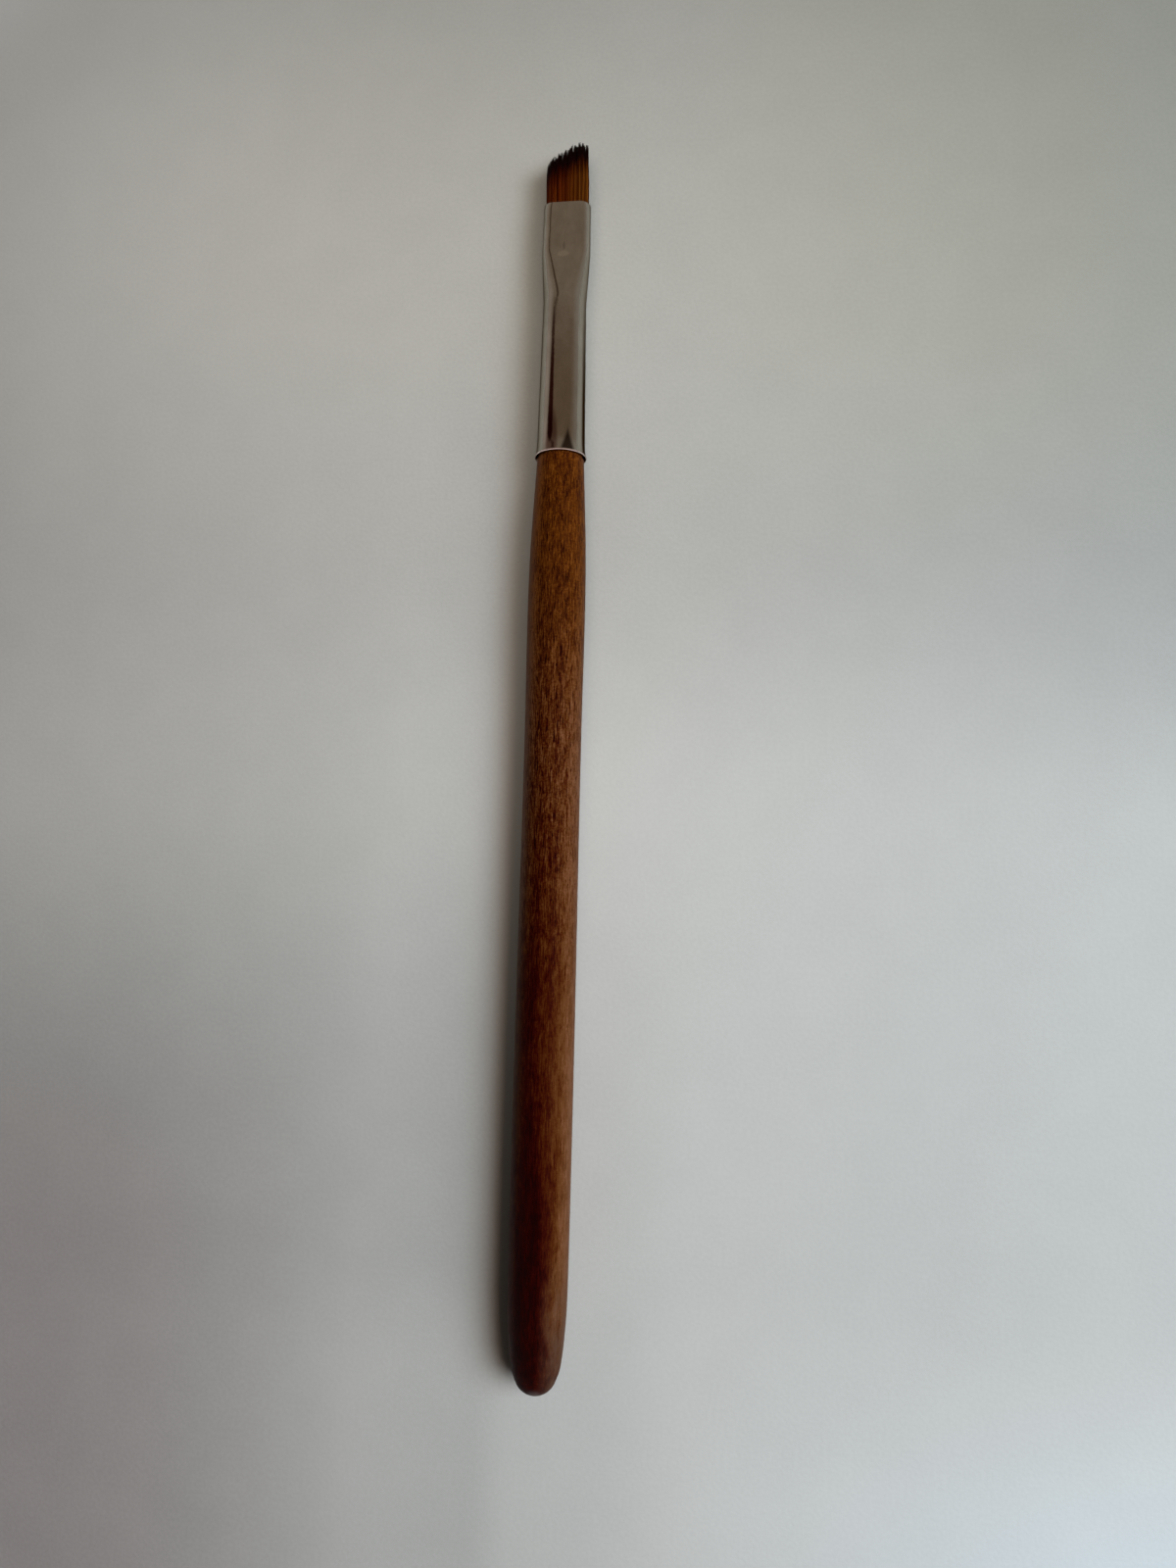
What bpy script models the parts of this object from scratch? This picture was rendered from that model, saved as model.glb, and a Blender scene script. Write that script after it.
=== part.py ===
"""Angled eyebrow brush, in metres, +Z up.

The brush lies along +Y with its bristles forward, on the surface at z = 0, as it
would lie on a table. A turned wooden handle carries a nickel ferrule, which is
round where it grips the wood and pressed flat at its mouth. The ferrule holds a
tuft of two-tone bristles, cut on a slant, with set glue behind the tuft's root.

Every piece is modelled along its own +Z, butt first, and an empty on the brush's
axis lays them down together. Stations along the brush are measured from the tip
of the butt, unless a name says otherwise.
"""

import math
import random

import bmesh
import bpy
from mathutils import Vector

# Clearances between neighbouring pieces
GAP = 0.0003
HAIR_GAP = 0.0002

# Handle, turned from one piece of wood. Its belly and its swell share one diameter, so it lies level
HANDLE_LENGTH = 0.1194
NOSE_RADIUS = 0.00272
NOSE_TURN = math.radians(68)
BODY_DIAMETER = 0.00766
WAIST_DIAMETER = 0.00746
SEAT_DROP = 0.00011
SEAT_CHAMFER = 0.00016
TENON_LENGTH = 0.0132
TENON_CHAMFER = 0.0007

# Where the body is thickest and thinnest, as shares of the handle's length
BELLY_PLACE_SHARE = 0.32
WAIST_PLACE_SHARE = 0.67
SWELL_PLACE_SHARE = 0.83

# Butt, from the end of the round nose to the belly: share of the way along, share of the way out
BUTT_SHARES = (
    (0.045, 0.43),
    (0.127, 0.71),
    (0.267, 0.92),
    (0.510, 0.975),
)

# Neck, from the swell to the ferrule: share of the way along, share of the way in
NECK_SHARES = (
    (0.36, 0.15),
    (0.66, 0.49),
)

# Ferrule, a drawn tube with a flared rim
FERRULE_LENGTH = 0.0360
FERRULE_WALL = 0.00025
RIM_FLARE = 0.00018
RIM_LENGTH = 0.0011
BARREL_DIAMETER = 0.00650
FERRULE_WAIST_DIAMETER = 0.00586

# The rim: share of its length, share of its flare
RIM_SHARES = (
    (0.00, 0.92),
    (0.12, 1.00),
    (0.30, 0.92),
    (0.55, 0.35),
)

# The pressed mouth
FLAT_LENGTH = 0.0072
FLAT_THICKNESS = 0.0030
PRESS_LENGTH = 0.0070
CREASE_WIDTH = 0.00664
MOUTH_WIDTH = 0.00648
MOUTH_CURL = 0.00006
MOUTH_CURL_LENGTH = 0.0002

# Glue and tuft
GLUE_LENGTH = 0.0042
ROOT_DEPTH = 0.0062
ROOT_SINK = 0.0004
TUFT_LENGTH = 0.0093
TUFT_SPREAD = 0.00013
TUFT_SPREAD_SHARE = 0.40
TUFT_TIP_THICKNESS = 0.00130
DYE_DEPTH = 0.0023
TIP_SCATTER = 0.00022

# The slanted cut: share of the tuft's width from its short side, share of its full length
CUT_SHARES = (
    (0.00, 0.655),
    (0.09, 0.735),
    (0.30, 0.830),
    (0.46, 0.905),
    (0.60, 0.935),
    (0.68, 0.985),
    (1.00, 1.000),
)

# Strands: a grid of cells, each strand keeping a share of its cell as it thins
STRAND_COLUMNS = 34
STRAND_ROWS = 12
STRAND_DYE_SHARE = 0.80
STRAND_TIP_SHARE = 0.42
STRAND_WANDER_SHARE = 0.90
STRAND_SEED = 7

# Facets
TURNED_SIDES = 28
QUARTER_POINTS = 8
SPAN_STEPS = 4
NOSE_STEPS = 6
PRESS_STEPS = 6
MERGE_DISTANCE = 0.00001
SMOOTH_ANGLE = math.radians(35)

# Stations that follow from the sizes
FERRULE_START = HANDLE_LENGTH + GAP
MOUTH_STATION = FERRULE_START + FERRULE_LENGTH
TOTAL_LENGTH = MOUTH_STATION + TUFT_LENGTH
PRESS_START = FERRULE_LENGTH - FLAT_LENGTH - PRESS_LENGTH
CREASE_START = FERRULE_LENGTH - FLAT_LENGTH

# The brush lies on the lowest facet of its thickest place
BODY_RADIUS = max(BODY_DIAMETER, WAIST_DIAMETER) / 2
RIM_RADIUS = BARREL_DIAMETER / 2 + RIM_FLARE
AXIS_HEIGHT = max(
    BODY_RADIUS * math.cos(math.pi / TURNED_SIDES),
    RIM_RADIUS * math.cos(math.pi / 4 / QUARTER_POINTS),
)

COLLECTION_NAME = "eyebrow_brush"


def clear_scene():
    for old in list(bpy.data.objects):
        bpy.data.objects.remove(old, do_unlink=True)


def make_material(name, colour, roughness, metallic=0.0, coat=0.0):
    """A plain material; colour is linear red, green and blue."""
    material = bpy.data.materials.new(name)
    material.use_nodes = True
    shader = material.node_tree.nodes["Principled BSDF"]
    shader.inputs["Base Color"].default_value = (*colour, 1.0)
    shader.inputs["Roughness"].default_value = roughness
    shader.inputs["Metallic"].default_value = metallic
    shader.inputs["Coat Weight"].default_value = coat
    material.diffuse_color = (*colour, 1.0)
    return material


def add_object(name, mesh, materials, parent):
    """One named object for a sub-part, hung on the brush's axis."""
    for material in materials:
        mesh.materials.append(material)
    obj = bpy.data.objects.new(name, mesh)
    bpy.data.collections[COLLECTION_NAME].objects.link(obj)
    obj.parent = parent
    return obj


def mesh_from_bmesh(name, bm):
    mesh = bpy.data.meshes.new(name)
    bm.to_mesh(mesh)
    bm.free()
    mesh.shade_smooth()
    mesh.set_sharp_from_angle(angle=SMOOTH_ANGLE)
    return mesh


def value_along(table, share):
    """Straight-line reading of a table of (share, value) pairs."""
    for (low, low_value), (high, high_value) in zip(table, table[1:]):
        if share <= high:
            way = (share - low) / (high - low)
            return low_value + (high_value - low_value) * max(way, 0.0)
    return table[-1][1]


def point_between(start, stop, along, across):
    """The point at a share of the way along and a share of the way across."""
    return (
        start[0] + (stop[0] - start[0]) * along,
        start[1] + (stop[1] - start[1]) * across,
    )


def smooth_outline(knots, first_slope):
    """Points (station, radius) on a smooth curve through the knots.

    The curve levels out at each knot where the radius turns from growing to
    shrinking, so it never swells past the sizes it is given.
    """
    slopes = [first_slope]
    for before, knot, after in zip(knots, knots[1:], knots[2:]):
        rise_in = (knot[1] - before[1]) / (knot[0] - before[0])
        rise_out = (after[1] - knot[1]) / (after[0] - knot[0])
        if rise_in * rise_out <= 0:
            slopes.append(0.0)
        else:
            slopes.append(2 * rise_in * rise_out / (rise_in + rise_out))
    last, end = knots[-2], knots[-1]
    slopes.append((end[1] - last[1]) / (end[0] - last[0]))

    points = [knots[0]]
    for index, (start, stop) in enumerate(zip(knots, knots[1:])):
        run = stop[0] - start[0]
        for step in range(1, SPAN_STEPS + 1):
            way = step / SPAN_STEPS
            lift = 3 * way**2 - 2 * way**3
            leave = run * slopes[index] * way * (1 - way) ** 2
            arrive = run * slopes[index + 1] * way**2 * (1 - way)
            radius = start[1] + (stop[1] - start[1]) * lift + leave - arrive
            points.append((start[0] + run * way, radius))
    return points


def ferrule_size(along):
    """Half width, half thickness and flatness of the ferrule's outside.

    The distance is measured from the ferrule's rim. Flatness is 0 on the round
    barrel and 1 on the pressed mouth.
    """
    if along <= PRESS_START:
        way = max(along, 0.0) / PRESS_START
        radius = (BARREL_DIAMETER + (FERRULE_WAIST_DIAMETER - BARREL_DIAMETER) * way) / 2
        return radius, radius, 0.0
    if along <= CREASE_START:
        way = (along - PRESS_START) / PRESS_LENGTH
        width = FERRULE_WAIST_DIAMETER + (CREASE_WIDTH - FERRULE_WAIST_DIAMETER) * way
        thickness = FERRULE_WAIST_DIAMETER + (FLAT_THICKNESS - FERRULE_WAIST_DIAMETER) * way
        return width / 2, thickness / 2, way
    way = (along - CREASE_START) / FLAT_LENGTH
    width = CREASE_WIDTH + (MOUTH_WIDTH - CREASE_WIDTH) * way
    return width / 2, FLAT_THICKNESS / 2, 1.0


def bore_size(along, clearance):
    """Half width, half thickness and flatness of what fits the ferrule's bore."""
    half_width, half_thickness, flatness = ferrule_size(along)
    inset = FERRULE_WALL + clearance
    return half_width - inset, half_thickness - inset, flatness


def section_ring(half_width, half_thickness, flatness, height):
    """A ring with level sides and round ends, which is a circle where both sizes agree.

    Its points spread over the round ends as the level sides open, so the two
    level facets, above and below, are the pressed flats.
    """
    round_step = math.pi / 2 / QUARTER_POINTS
    flat_step = math.pi / 2 / (QUARTER_POINTS - 0.5)
    step = round_step + (flat_step - round_step) * flatness
    core = half_width - half_thickness
    arc = []
    for index in range(QUARTER_POINTS):
        turn = (index + 0.5) * step
        arc.append((core + half_thickness * math.cos(turn), half_thickness * math.sin(turn)))
    upper = arc + [(-x, y) for x, y in reversed(arc)]
    lower = [(x, -y) for x, y in reversed(upper)]
    return [Vector((x, y, height)) for x, y in upper + lower]


def loft(bm, rings):
    """Skin a row of rings; returns the rows of vertices."""
    rows = [[bm.verts.new(point) for point in ring] for ring in rings]
    for low, high in zip(rows, rows[1:]):
        for index in range(len(low)):
            after = (index + 1) % len(low)
            bm.faces.new((low[index], low[after], high[after], high[index]))
    return rows


def inner_stations(start, stop):
    """Distances from the rim between two ends, with the ferrule's own bends among them."""
    bends = [bend for bend in (PRESS_START, CREASE_START) if start < bend < stop]
    return [start, *bends, stop]


def add_handle(parent):
    """Bullet-nosed turned handle with a tapered tenon for the ferrule."""
    nose = []
    for step in range(NOSE_STEPS + 1):
        turn = NOSE_TURN * step / NOSE_STEPS
        nose.append((NOSE_RADIUS * (1 - math.cos(turn)), NOSE_RADIUS * math.sin(turn)))

    seat = BARREL_DIAMETER / 2 - SEAT_DROP
    belly = (HANDLE_LENGTH * BELLY_PLACE_SHARE, BODY_DIAMETER / 2)
    waist = (HANDLE_LENGTH * WAIST_PLACE_SHARE, WAIST_DIAMETER / 2)
    swell = (HANDLE_LENGTH * SWELL_PLACE_SHARE, BODY_DIAMETER / 2)
    seat_edge = (HANDLE_LENGTH - SEAT_CHAMFER, seat)
    knots = [nose[-1]]
    knots += [point_between(nose[-1], belly, *shares) for shares in BUTT_SHARES]
    knots += [belly, waist, swell]
    knots += [point_between(swell, seat_edge, *shares) for shares in NECK_SHARES]
    knots.append(seat_edge)
    outline = nose[:-1] + smooth_outline(knots, 1 / math.tan(NOSE_TURN))

    tenon_end = HANDLE_LENGTH + TENON_LENGTH
    chamfer_start = tenon_end - TENON_CHAMFER
    tenon_root, _, _ = bore_size(0.0, GAP)
    tenon_tip, _, _ = bore_size(chamfer_start - FERRULE_START, GAP)
    outline.append((HANDLE_LENGTH, seat - SEAT_CHAMFER))
    outline.append((HANDLE_LENGTH, tenon_root))
    outline.append((chamfer_start, tenon_tip))
    outline.append((tenon_end, tenon_tip - TENON_CHAMFER))
    outline.append((tenon_end, 0.0))

    bm = bmesh.new()
    spine = [bm.verts.new((radius, 0.0, station)) for station, radius in reversed(outline)]
    for upper, lower in zip(spine, spine[1:]):
        bm.edges.new((upper, lower))
    wood = make_material("lacquered_wood", (0.117, 0.040, 0.011), roughness=0.32, coat=0.5)
    handle = add_object("handle", mesh_from_bmesh("handle", bm), [wood], parent)

    turning = handle.modifiers.new("turning", "SCREW")
    turning.axis = "Z"
    turning.angle = 2 * math.pi
    turning.steps = TURNED_SIDES
    turning.render_steps = TURNED_SIDES
    turning.use_merge_vertices = True
    turning.merge_threshold = MERGE_DISTANCE
    turning.use_smooth_shade = True
    handle.rotation_euler.z = math.pi / TURNED_SIDES
    return handle


def add_ferrule(parent):
    """Drawn tube, flared at the rim and pressed flat at the mouth."""
    rings = []
    for along, flare in RIM_SHARES:
        radius = BARREL_DIAMETER / 2 + RIM_FLARE * flare
        rings.append(section_ring(radius, radius, 0.0, RIM_LENGTH * along))
    stations = [RIM_LENGTH, (RIM_LENGTH + PRESS_START) / 2]
    stations += [PRESS_START + PRESS_LENGTH * step / PRESS_STEPS for step in range(PRESS_STEPS + 1)]
    stations.append(FERRULE_LENGTH - MOUTH_CURL_LENGTH)
    for along in stations:
        rings.append(section_ring(*ferrule_size(along), along))
    width, thickness, flatness = ferrule_size(FERRULE_LENGTH)
    rings.append(section_ring(width - MOUTH_CURL, thickness - MOUTH_CURL, flatness, FERRULE_LENGTH))

    bm = bmesh.new()
    loft(bm, rings)
    nickel = make_material("nickel_plate", (0.46, 0.43, 0.38), roughness=0.24, metallic=1.0)
    ferrule = add_object("ferrule", mesh_from_bmesh("ferrule", bm), [nickel], parent)
    ferrule.location.z = FERRULE_START

    wall = ferrule.modifiers.new("wall", "SOLIDIFY")
    wall.thickness = FERRULE_WALL
    wall.offset = -1.0
    wall.use_even_offset = True
    return ferrule


def add_glue_plug(parent):
    """Set glue that filled the pressed throat behind the tuft's root."""
    stop = FERRULE_LENGTH - ROOT_DEPTH - GAP
    start = stop - GLUE_LENGTH
    rings = [section_ring(*bore_size(along, GAP), along) for along in inner_stations(start, stop)]
    bm = bmesh.new()
    rows = loft(bm, rings)
    bm.faces.new(list(reversed(rows[0])))
    bm.faces.new(rows[-1])
    glue = make_material("set_glue", (0.47, 0.27, 0.07), roughness=0.35)
    plug = add_object("glue_plug", mesh_from_bmesh("glue_plug", bm), [glue], parent)
    plug.location.z = FERRULE_START
    return plug


def oval_point(across, through, half_width, half_thickness):
    """A place in the tuft's oval; across and through run from -1 to 1.

    The middle of the oval is a plain grid, and each end turns the grid into a
    half disc, so no cell of the grid is squeezed to nothing.
    """
    core = half_width - half_thickness
    reach = abs(across) * half_width - core
    if reach <= 0:
        return across * half_width, through * half_thickness
    end = reach / half_thickness
    x = core + half_thickness * end * math.sqrt(1 - through**2 / 2)
    y = half_thickness * through * math.sqrt(1 - end**2 / 2)
    return math.copysign(x, across), y


def tuft_size(out):
    """Half width and half thickness of the tuft at a distance out of the mouth.

    The strands leave the ferrule pinched, spread a little just past the mouth
    and draw in to a chisel edge.
    """
    width, thickness, _ = bore_size(FERRULE_LENGTH - ROOT_SINK, HAIR_GAP)
    share = max(out, 0.0) / TUFT_LENGTH
    widths = ((0.0, width), (TUFT_SPREAD_SHARE, width + TUFT_SPREAD), (1.0, width))
    thicknesses = (
        (0.0, thickness),
        (TUFT_SPREAD_SHARE, thickness + TUFT_SPREAD),
        (1.0, TUFT_TIP_THICKNESS / 2),
    )
    return value_along(widths, share), value_along(thicknesses, share)


def place_strand_ends(faces, grid_place, keep, out_of_face, chance):
    """Thin each strand's end, carry it out and let it wander in the room it has.

    A strand never leaves its cell of the oval, so no two strands cross.
    """
    across_layer, through_layer = grid_place
    room = (1 - keep) * STRAND_WANDER_SHARE
    for face in faces:
        middle_across = sum(vert[across_layer] for vert in face.verts) / len(face.verts)
        middle_through = sum(vert[through_layer] for vert in face.verts) / len(face.verts)
        out = out_of_face(middle_across)
        aside = room * chance.uniform(-1, 1) / STRAND_COLUMNS
        upward = room * chance.uniform(-1, 1) / STRAND_ROWS
        for vert in face.verts:
            across = middle_across + aside + (vert[across_layer] - middle_across) * keep
            through = middle_through + upward + (vert[through_layer] - middle_through) * keep
            x, y = oval_point(across, through, *tuft_size(out))
            vert.co = (x, y, FERRULE_LENGTH + out)


def add_bristle_tuft(parent):
    """Strands in an oval bundle, fused to a slice of their backing in the ferrule."""
    bm = bmesh.new()
    bmesh.ops.create_grid(bm, x_segments=STRAND_COLUMNS, y_segments=STRAND_ROWS, size=1.0)
    across_layer = bm.verts.layers.float.new("across")
    through_layer = bm.verts.layers.float.new("through")
    for vert in bm.verts:
        vert[across_layer] = vert.co.x
        vert[through_layer] = vert.co.y

    strand_faces = list(bm.faces)
    stations = inner_stations(FERRULE_LENGTH - ROOT_DEPTH, FERRULE_LENGTH - ROOT_SINK)
    top = stations.pop()
    slice_rows = [(top, list(bm.verts))]
    edges = [edge for edge in bm.edges if edge.is_boundary]
    for along in reversed(stations):
        grown = bmesh.ops.extrude_edge_only(bm, edges=edges)["geom"]
        slice_rows.append((along, [item for item in grown if isinstance(item, bmesh.types.BMVert)]))
        edges = [item for item in grown if isinstance(item, bmesh.types.BMEdge) and item.is_boundary]
    bmesh.ops.edgeloop_fill(bm, edges=edges)
    for along, verts in slice_rows:
        width, thickness, _ = bore_size(along, HAIR_GAP)
        for vert in verts:
            x, y = oval_point(vert[across_layer], vert[through_layer], width, thickness)
            vert.co = (x, y, along)

    chance = random.Random(STRAND_SEED)

    def cut_length(across):
        return TUFT_LENGTH * value_along(CUT_SHARES, (across + 1) / 2)

    def dye_start(across):
        return cut_length(across) - DYE_DEPTH

    def strand_end(across):
        return cut_length(across) - TIP_SCATTER * chance.random()

    grid_place = (across_layer, through_layer)
    undyed = bmesh.ops.extrude_discrete_faces(bm, faces=strand_faces)["faces"]
    place_strand_ends(undyed, grid_place, STRAND_DYE_SHARE, dye_start, chance)
    plain_faces = set(bm.faces) - set(undyed)
    tips = bmesh.ops.extrude_discrete_faces(bm, faces=undyed)["faces"]
    place_strand_ends(tips, grid_place, STRAND_TIP_SHARE, strand_end, chance)
    for face in bm.faces:
        face.material_index = 0 if face in plain_faces else 1
    bmesh.ops.recalc_face_normals(bm, faces=bm.faces)

    hair = make_material("brown_bristle", (0.100, 0.034, 0.006), roughness=0.5)
    dyed = make_material("dyed_bristle", (0.012, 0.003, 0.002), roughness=0.55)
    tuft = add_object("bristle_tuft", mesh_from_bmesh("bristle_tuft", bm), [hair, dyed], parent)
    tuft.location.z = FERRULE_START
    return tuft


def main():
    clear_scene()
    collection = bpy.data.collections.new(COLLECTION_NAME)
    bpy.context.scene.collection.children.link(collection)

    axis = bpy.data.objects.new("brush_axis", None)
    collection.objects.link(axis)
    axis.location = (0.0, -TOTAL_LENGTH / 2, AXIS_HEIGHT)
    axis.rotation_euler.x = -math.pi / 2

    add_handle(axis)
    add_ferrule(axis)
    add_glue_plug(axis)
    add_bristle_tuft(axis)


main()
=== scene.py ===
"""Looks of the eyebrow brush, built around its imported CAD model.

Lengths are in millimetres, and become metres where a mesh or a lamp is made. A
station is the distance along the brush from the tip of its butt, "past rim" is
the distance from the ferrule's rim, and "out" is the distance out of its mouth.
In the materials, across and along are the frame's own x and y.
"""

import math
import random
from collections import namedtuple

import bpy
from mathutils import Matrix, Vector


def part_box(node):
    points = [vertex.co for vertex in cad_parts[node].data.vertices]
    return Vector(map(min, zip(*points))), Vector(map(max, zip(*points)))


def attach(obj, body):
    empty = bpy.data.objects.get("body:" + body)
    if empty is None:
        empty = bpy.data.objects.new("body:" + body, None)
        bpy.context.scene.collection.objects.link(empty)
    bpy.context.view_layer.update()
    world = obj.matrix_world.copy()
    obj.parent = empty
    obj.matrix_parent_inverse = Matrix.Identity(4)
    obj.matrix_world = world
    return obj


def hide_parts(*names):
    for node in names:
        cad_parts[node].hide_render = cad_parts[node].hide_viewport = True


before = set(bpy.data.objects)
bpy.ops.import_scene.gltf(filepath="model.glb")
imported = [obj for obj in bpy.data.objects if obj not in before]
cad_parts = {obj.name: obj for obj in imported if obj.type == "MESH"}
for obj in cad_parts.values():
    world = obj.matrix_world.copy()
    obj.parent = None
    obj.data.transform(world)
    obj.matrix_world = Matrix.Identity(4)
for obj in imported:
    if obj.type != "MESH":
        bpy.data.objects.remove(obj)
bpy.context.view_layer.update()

MM = 0.001

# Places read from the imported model
HANDLE_LOW, HANDLE_HIGH = (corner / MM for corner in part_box("handle"))
FERRULE_LOW, FERRULE_HIGH = (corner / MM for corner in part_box("ferrule"))
_, TUFT_HIGH = (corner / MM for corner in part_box("bristle_tuft"))
BUTT_Y = HANDLE_LOW.y
RIM_Y = FERRULE_LOW.y
AXIS_Z = (HANDLE_LOW.z + HANDLE_HIGH.z) / 2
BODY_RADIUS = (HANDLE_HIGH.z - HANDLE_LOW.z) / 2
RIM_STATION = RIM_Y - BUTT_Y
MOUTH_STATION = FERRULE_HIGH.y - BUTT_Y
TENON_END = HANDLE_HIGH.y - BUTT_Y
TUFT_LENGTH = TUFT_HIGH.y - FERRULE_HIGH.y

# Camera, as fitted to the photograph: place, turns in degrees, and lens on a 36 mm sensor
CAMERA_PLACE = (24.97, -24.51, 154.25)
CAMERA_TURNS = ((7.487, "Y"), (1.368, "Z"), (6.618, "X"))
SENSOR_SIZE = 36.0
FOCAL_PIXELS = 1202.0
PICTURE_HEIGHT = 1600.0
CLIP_START = 10.0

# Window light from the right of the picture; its colours go from its foot to its top
WINDOW_AZIMUTH = math.radians(2)
WINDOW_ELEVATION = math.radians(49)
WINDOW_TARGET = (15.0, -55.0, 0.0)
WINDOW_DISTANCE = 450.0
WINDOW_SIZE = 380.0
WINDOW_SPREAD = math.radians(58)
WINDOW_POWER = 0.5
WINDOW_COLOURS = (
    (0.50, (0.970, 1.040, 1.090)),
    (0.75, (1.020, 0.980, 0.950)),
    (0.90, (1.120, 0.860, 0.700)),
    (1.00, (1.200, 0.700, 0.460)),
)

# Weak light from overhead on the ferrule and the tuft
FILL_PLACE = (0.0, 68.0, 115.0)
FILL_SIZE = 90.0
FILL_SPREAD = math.radians(108)
FILL_POWER = 0.024
FILL_COLOUR = (1.0, 0.86, 0.72)

# What matt surfaces get from the room, and what the camera sees behind everything
AMBIENT = (0.030, 0.024, 0.020)
BACKDROP = (0.405, 0.400, 0.385)

# The room that the metal mirrors. "Ahead" is the share of a direction that points along the brush,
# and "round" is its angle in degrees from the left horizon over the top. Each pair of colours is
# for directions less and more ahead.
ROOM_SPLIT = (0.45, 0.54)
CEILING_COLOURS = ((0.165, 0.118, 0.080), (0.240, 0.195, 0.152))
LEFT_WALL_COLOURS = ((0.400, 0.340, 0.310), (0.345, 0.300, 0.260))
LEFT_WALL_ROUND = (42.0, 10.0)
RIGHT_WALL_COLOURS = ((0.300, 0.270, 0.240), (0.350, 0.330, 0.305))
RIGHT_WALL_ROUND = (134.0, 190.0)
SHADE_AHEAD = (0.32, 0.12)
SHADE_COLOUR = (0.070, 0.064, 0.058)
BEHIND_AHEAD = (0.02, -0.25)
BEHIND_COLOUR = (0.780, 0.660, 0.630)

# A dark figure stands over the brush
PERSON_DIRECTION = (0.139, 0.050, 0.989)
PERSON_EDGE = (math.cos(math.radians(20)), math.cos(math.radians(10)))
PERSON_COLOUR = (0.030, 0.020, 0.017)

# A dark streak at the left, which climbs, narrows and fades further ahead
STREAK_ROUND = 41.0
STREAK_CLIMB = 16.0
STREAK_CLIMB_AHEAD = (0.495, 0.535)
STREAK_HALF_WIDTHS = (14.0, 6.5)
STREAK_WIDTH_AHEAD = (0.42, 0.50)
STREAK_EDGE = (3.0, -3.0)
STREAK_START_AHEAD = (0.22, 0.32)
STREAK_COLOURS = ((0.030, 0.006, 0.004), (0.090, 0.060, 0.042))
STREAK_COLOUR_AHEAD = (0.47, 0.51)

# Paper floor, and how far from the brush's middle it runs into the plain background
FLOOR_SIDE = 4000.0
BACKDROP_START = 128.0
BACKDROP_STOP = 170.0
MOTTLE_SIZE = (9.0, 9.0, 9.0)
TOOTH_SIZE = (0.5, 0.5, 0.5)

# Tones of the paper: one for all of it, then painted light and shade: one step along the brush, and
# soft patches that are lighter or darker where the light falls brighter or dimmer and where the
# brush's shadow lies. A patch is (from, to) across the brush, (from, to) along it, and its lift.
PAPER_TONE = 0.370
PAPER_LIGHT_STEP = (30.0, -14.0, 0.0, 0.042)
PAPER_LIGHT_AND_SHADOW_PATCHES = (
    ((-38.0, 2.0), (30.0, -14.0), 0.074),
    ((45.0, 80.0), (10.0, -14.0), 0.035),
    ((-5.0, -80.0), (10.0, 100.0), 0.14),
    ((-4.0, -64.0), (12.0, -72.0), -0.125),
    ((-26.0, -10.0), (6.0, -58.0), -0.080),
    ((-10.0, -3.0), (6.0, -58.0), 0.080),
    ((20.0, 6.0), (-4.0, -50.0), -0.036),
    ((-22.0, -13.0), (70.0, 40.0), -0.022),
    ((-9.0, -4.0), (70.0, 40.0), 0.022),
    ((-22.0, -13.0), (-20.0, -55.0), 0.022),
    ((-9.0, -4.0), (-20.0, -55.0), -0.022),
    ((-4.0, -12.0), (-66.0, -82.0), 0.048),
    ((-16.0, -50.0), (-64.0, -82.0), -0.040),
    ((-44.0, -70.0), (-5.0, -50.0), -0.012),
    ((-10.0, 80.0), (-65.0, -104.0), 0.16),
)
MOTTLE_LIFT = 0.014
TOOTH_LIFT = 0.018

# Tints of the paper: over its lower and its upper part, and in three corners, where they paint the
# colour of the light falling there
LOWER_TINT = (1.0, 1.035, 1.022)
UPPER_TINT = (1.0, 1.035, 1.000)
UPPER_TINT_ALONG = (20.0, 70.0)
CORNER_LIGHT_TINTS = (
    ((10.0, 60.0), (10.0, 70.0), (1.0, 1.030, 0.930)),
    ((-20.0, -70.0), (-30.0, -70.0), (1.07, 1.035, 1.04)),
    ((10.0, 80.0), (-75.0, -105.0), (0.93, 1.035, 1.10)),
)

# Handle: the round nose, then knots as shares of the handle's length and of the body's radius
SEAT_GAP = 0.3
HANDLE_LENGTH = RIM_STATION - SEAT_GAP
NOSE_RADIUS = 2.72
NOSE_TURN = math.radians(68)
BUTT_KNOTS = ((0.0280, 0.804), (0.0531, 0.901), (0.0959, 0.974), (0.170, 0.992))
BODY_KNOTS = ((0.32, 1.0), (0.67, 0.974), (0.83, 1.0), (0.8907, 0.974), (0.9414, 0.911))
SEAT_RADIUS = 3.14
SHOULDER_ROUND = 0.10
NECK_RADIUS = 2.96
NECK_LENGTH = 0.9
TENON_RADIUS = 2.62
TENON_TAPER = 0.1
TENON_CHAMFER = 0.7
HANDLE_SIDES = 112
NOSE_STEPS = 14
SPAN_STEPS = 14
SHOULDER_STEPS = 5

# Nearly all of a raw noise lies in this span
NOISE_SPAN = (0.28, 0.72)

# Sizes of the wood's patterns across, along and up
BAND_SIZE = (0.8, 24.0, 0.8)
WAVER_SIZE = (1.8, 16.0, 1.8)
BLOTCH_SIZE = (1.0, 2.4, 1.0)
THREAD_SIZE = (0.12, 1.7, 0.12)
CROSSING_SIZE = (0.30, 0.22, 0.30)
FLECK_SIZE = (0.13, 1.20, 0.13)
GLOSS_SIZE = (0.5, 2.0, 0.5)

# Flecks stand where their noise is high, and are weaker on a pale blotch
FLECK_EDGE = (0.62, 0.86)
FLECK_STRENGTH = (0.85, 0.25, 0.35, 1.0)

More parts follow.
